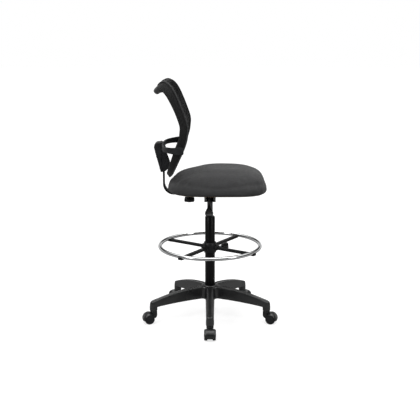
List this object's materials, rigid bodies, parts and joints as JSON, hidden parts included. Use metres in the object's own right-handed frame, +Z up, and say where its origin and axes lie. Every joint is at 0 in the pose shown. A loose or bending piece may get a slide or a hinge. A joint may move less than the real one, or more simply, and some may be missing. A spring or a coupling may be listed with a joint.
{
  "type": "drafting chair",
  "caption": "Tall swivel drafting chair with a curved mesh back, padded seat, height lever, chrome foot ring and star base on twin-wheel casters.",
  "frame": {"origin": "on the floor below the middle of the chair's footprint; the column's axis is at x = 0.0257, y = 0", "axes": "+Z up; the sitter faces -Y, with the right hand and the height lever at -X; one base arm points to -X"},
  "size_m": [0.6526, 0.686, 1.1997],
  "materials": {
    "base_nylon": "black glass-filled nylon, satin moulded texture",
    "caster_nylon": "black nylon, satin",
    "wheel_nylon": "black hard nylon tread and dished face",
    "zinc_steel": "zinc-plated steel",
    "column_paint": "black powder-coated steel tube",
    "lift_paint": "black-finished steel gas lift tube, smooth",
    "acetal": "black acetal",
    "ring_chrome": "bright chrome-plated steel tube",
    "spoke_paint": "black powder-coated steel",
    "collar_plastic": "black moulded plastic",
    "knob_plastic": "black moulded plastic, satin",
    "mechanism_paint": "black powder-coated steel",
    "bar_paint": "black powder-coated flat steel",
    "plywood": "birch plywood",
    "foam": "moulded polyurethane foam, hidden by the cover",
    "seat_cloth": "charcoal woven upholstery cloth",
    "back_plastic": "black moulded plastic, fine texture",
    "frame_cloth": "black stretch mesh drawn over a moulded frame",
    "mesh_cloth": "black open mesh cloth"
  },
  "bodies": {
    "base": {"base_spider": "base_nylon", "column_tube": "column_paint", "guide_bush": "acetal", "thrust_bearing": "zinc_steel"},
    "lift_rod": {"piston_rod": "zinc_steel", "retaining_clip": "zinc_steel"},
    "seat": {"gas_cylinder": "lift_paint", "mechanism_housing": "mechanism_paint", "seat_plate": "mechanism_paint", "plate_bolt_1": "zinc_steel", "plate_bolt_2": "zinc_steel", "plate_bolt_3": "zinc_steel", "plate_bolt_4": "zinc_steel", "seat_board": "plywood", "seat_foam": "foam", "seat_cover": "seat_cloth", "bar_bracket": "mechanism_paint"},
    "height_lever": {"lever_rod": "mechanism_paint", "lever_paddle": "knob_plastic"},
    "valve_pin": {"release_pin": "zinc_steel"},
    "foot_ring_frame": {"ring_collar": "collar_plastic", "foot_ring": "ring_chrome", "spoke_1": "spoke_paint", "spoke_2": "spoke_paint", "spoke_3": "spoke_paint", "spoke_4": "spoke_paint"},
    "ring_pad": {"ring_clamp_pad": "acetal"},
    "ring_knob": {"ring_clamp_knob": "knob_plastic"},
    "back_arm": {"back_bar": "bar_paint"},
    "bar_knob": {"bar_clamp_knob": "knob_plastic", "bar_clamp_pad": "acetal"},
    "backrest": {"back_bracket": "back_plastic", "spine_cover": "back_plastic", "back_frame": "frame_cloth", "back_mesh": "mesh_cloth"},
    "caster_1": {"caster_1_hood": "caster_nylon", "caster_1_stem": "zinc_steel", "caster_1_axle": "zinc_steel"},
    "caster_1_wheel_left": {"caster_1_wheel_left": "wheel_nylon"},
    "caster_1_wheel_right": {"caster_1_wheel_right": "wheel_nylon"},
    "caster_2": {"caster_2_hood": "caster_nylon", "caster_2_stem": "zinc_steel", "caster_2_axle": "zinc_steel"},
    "caster_2_wheel_left": {"caster_2_wheel_left": "wheel_nylon"},
    "caster_2_wheel_right": {"caster_2_wheel_right": "wheel_nylon"},
    "caster_3": {"caster_3_hood": "caster_nylon", "caster_3_stem": "zinc_steel", "caster_3_axle": "zinc_steel"},
    "caster_3_wheel_left": {"caster_3_wheel_left": "wheel_nylon"},
    "caster_3_wheel_right": {"caster_3_wheel_right": "wheel_nylon"},
    "caster_4": {"caster_4_hood": "caster_nylon", "caster_4_stem": "zinc_steel", "caster_4_axle": "zinc_steel"},
    "caster_4_wheel_left": {"caster_4_wheel_left": "wheel_nylon"},
    "caster_4_wheel_right": {"caster_4_wheel_right": "wheel_nylon"},
    "caster_5": {"caster_5_hood": "caster_nylon", "caster_5_stem": "zinc_steel", "caster_5_axle": "zinc_steel"},
    "caster_5_wheel_left": {"caster_5_wheel_left": "wheel_nylon"},
    "caster_5_wheel_right": {"caster_5_wheel_right": "wheel_nylon"}
  },
  "joints": [
    {"name": "seat_swivel", "type": "hinge", "parent": "base", "child": "lift_rod", "pos_m": [0.02568, 0, 0.3], "axis": [0, 0, 1], "continuous": true},
    {"name": "seat_lift", "type": "slide", "parent": "lift_rod", "child": "seat", "axis": [0, 0, 1], "range_m": [-0.075, 0.11]},
    {"name": "height_lever_pull", "type": "hinge", "parent": "seat", "child": "height_lever", "pos_m": [0.00368, 0.004, 0.65], "axis": [0, 1, 0], "range_deg": [0, 5], "stiffness_Nm_per_rad": 3, "springref_deg": -3.44},
    {"name": "valve_pin_press", "type": "slide", "parent": "seat", "child": "valve_pin", "axis": [0, 0, 1], "range_m": [-0.0022, 0]},
    {"name": "foot_ring_height", "type": "slide", "parent": "base", "child": "foot_ring_frame", "axis": [0, 0, 1], "range_m": [-0.13, 0.1]},
    {"name": "ring_pad_release", "type": "slide", "parent": "foot_ring_frame", "child": "ring_pad", "axis": [0.1994, -0.9799, 0], "range_m": [0, 0.0031]},
    {"name": "ring_knob_turn", "type": "hinge", "parent": "ring_pad", "child": "ring_knob", "pos_m": [0.03764, -0.0588, 0.369], "axis": [0.1994, -0.9799, 0], "range_deg": [0, 720]},
    {"name": "back_depth", "type": "slide", "parent": "seat", "child": "back_arm", "axis": [0, 1, 0], "range_m": [0, 0.03]},
    {"name": "bar_knob_turn", "type": "hinge", "parent": "seat", "child": "bar_knob", "pos_m": [0.02568, 0.1025, 0.62], "axis": [0, 0, -1], "range_deg": [0, 720]},
    {"name": "back_height", "type": "slide", "parent": "back_arm", "child": "backrest", "axis": [0, 0, 1], "range_m": [0, 0.06]},
    {"name": "caster_1_swivel", "type": "hinge", "parent": "base", "child": "caster_1", "pos_m": [-0.27232, 0, 0.08], "axis": [0, 0, 1], "continuous": true},
    {"name": "caster_1_roll_left", "type": "hinge", "parent": "caster_1", "child": "caster_1_wheel_left", "pos_m": [-0.29732, 0, 0.025], "axis": [0, -1, 0], "continuous": true},
    {"name": "caster_1_roll_right", "type": "hinge", "parent": "caster_1", "child": "caster_1_wheel_right", "pos_m": [-0.29732, 0, 0.025], "axis": [0, -1, 0], "continuous": true},
    {"name": "caster_2_swivel", "type": "hinge", "parent": "base", "child": "caster_2", "pos_m": [-0.06641, -0.28341, 0.08], "axis": [0, 0, 1], "continuous": true},
    {"name": "caster_2_roll_left", "type": "hinge", "parent": "caster_2", "child": "caster_2_wheel_left", "pos_m": [-0.07414, -0.30719, 0.025], "axis": [0.9511, -0.309, 0], "continuous": true},
    {"name": "caster_2_roll_right", "type": "hinge", "parent": "caster_2", "child": "caster_2_wheel_right", "pos_m": [-0.07414, -0.30719, 0.025], "axis": [0.9511, -0.309, 0], "continuous": true},
    {"name": "caster_3_swivel", "type": "hinge", "parent": "base", "child": "caster_3", "pos_m": [0.26676, -0.17516, 0.08], "axis": [0, 0, 1], "continuous": true},
    {"name": "caster_3_roll_left", "type": "hinge", "parent": "caster_3", "child": "caster_3_wheel_left", "pos_m": [0.28699, -0.18985, 0.025], "axis": [0.5878, 0.809, 0], "continuous": true},
    {"name": "caster_3_roll_right", "type": "hinge", "parent": "caster_3", "child": "caster_3_wheel_right", "pos_m": [0.28699, -0.18985, 0.025], "axis": [0.5878, 0.809, 0], "continuous": true},
    {"name": "caster_4_swivel", "type": "hinge", "parent": "base", "child": "caster_4", "pos_m": [0.26676, 0.17516, 0.08], "axis": [0, 0, 1], "continuous": true},
    {"name": "caster_4_roll_left", "type": "hinge", "parent": "caster_4", "child": "caster_4_wheel_left", "pos_m": [0.28699, 0.18985, 0.025], "axis": [-0.5878, 0.809, 0], "continuous": true},
    {"name": "caster_4_roll_right", "type": "hinge", "parent": "caster_4", "child": "caster_4_wheel_right", "pos_m": [0.28699, 0.18985, 0.025], "axis": [-0.5878, 0.809, 0], "continuous": true},
    {"name": "caster_5_swivel", "type": "hinge", "parent": "base", "child": "caster_5", "pos_m": [-0.06641, 0.28341, 0.08], "axis": [0, 0, 1], "continuous": true},
    {"name": "caster_5_roll_left", "type": "hinge", "parent": "caster_5", "child": "caster_5_wheel_left", "pos_m": [-0.07414, 0.30719, 0.025], "axis": [-0.9511, -0.309, 0], "continuous": true},
    {"name": "caster_5_roll_right", "type": "hinge", "parent": "caster_5", "child": "caster_5_wheel_right", "pos_m": [-0.07414, 0.30719, 0.025], "axis": [-0.9511, -0.309, 0], "continuous": true}
  ],
  "couplings": [
    {"joint": "valve_pin_press", "follows": "height_lever_pull", "m_per_rad": -0.022},
    {"joint": "ring_pad_release", "follows": "ring_knob_turn", "m_per_rad": 0.00023873}
  ]
}
